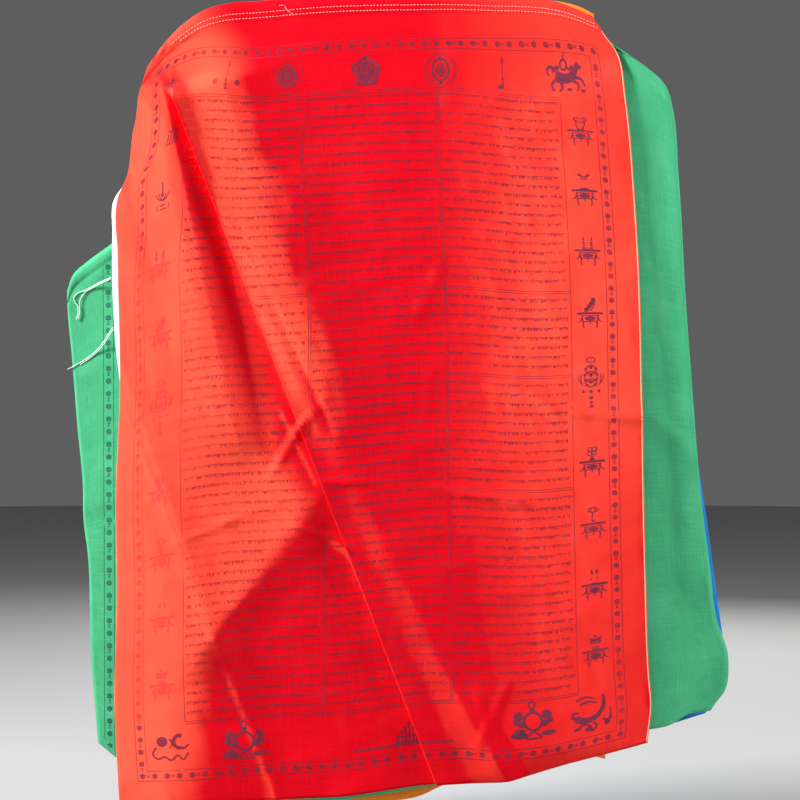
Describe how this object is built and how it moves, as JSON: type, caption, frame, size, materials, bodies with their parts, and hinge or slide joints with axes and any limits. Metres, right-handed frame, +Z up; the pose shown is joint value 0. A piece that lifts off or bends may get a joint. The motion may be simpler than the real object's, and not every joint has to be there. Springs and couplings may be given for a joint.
{
  "type": "tibetan prayer flag string",
  "caption": "Section of a string of large printed cotton flags, folded back and forth so that its sheets hang in a stack from the hemmed top edges.",
  "frame": {"origin": "middle of the front flag's hemmed top edge", "axes": "+Z up, +X to the right across the flags as seen from the front, -Y towards the viewer of the printed side"},
  "size_m": [0.8332, 0.0775, 1.0152],
  "materials": {
    "red_cloth": "thin plain-woven cloth, printed on one side",
    "white_cloth": "thin plain-woven cloth, printed on one side",
    "green_cloth": "thin plain-woven cloth, printed on one side",
    "yellow_cloth": "thin plain-woven cloth, printed on one side",
    "blue_cloth": "thin plain-woven cloth, printed on one side",
    "white_thread": "loose sewing thread"
  },
  "bodies": {
    "root": {"flag_red": "red_cloth", "flag_white": "white_cloth", "flag_green_near": "green_cloth", "flag_yellow": "yellow_cloth", "flag_green_far": "green_cloth", "flag_blue": "blue_cloth", "thread_upper_long": "white_thread", "thread_upper_short": "white_thread", "thread_lower_long": "white_thread", "thread_lower_short": "white_thread"}
  },
  "joints": []
}
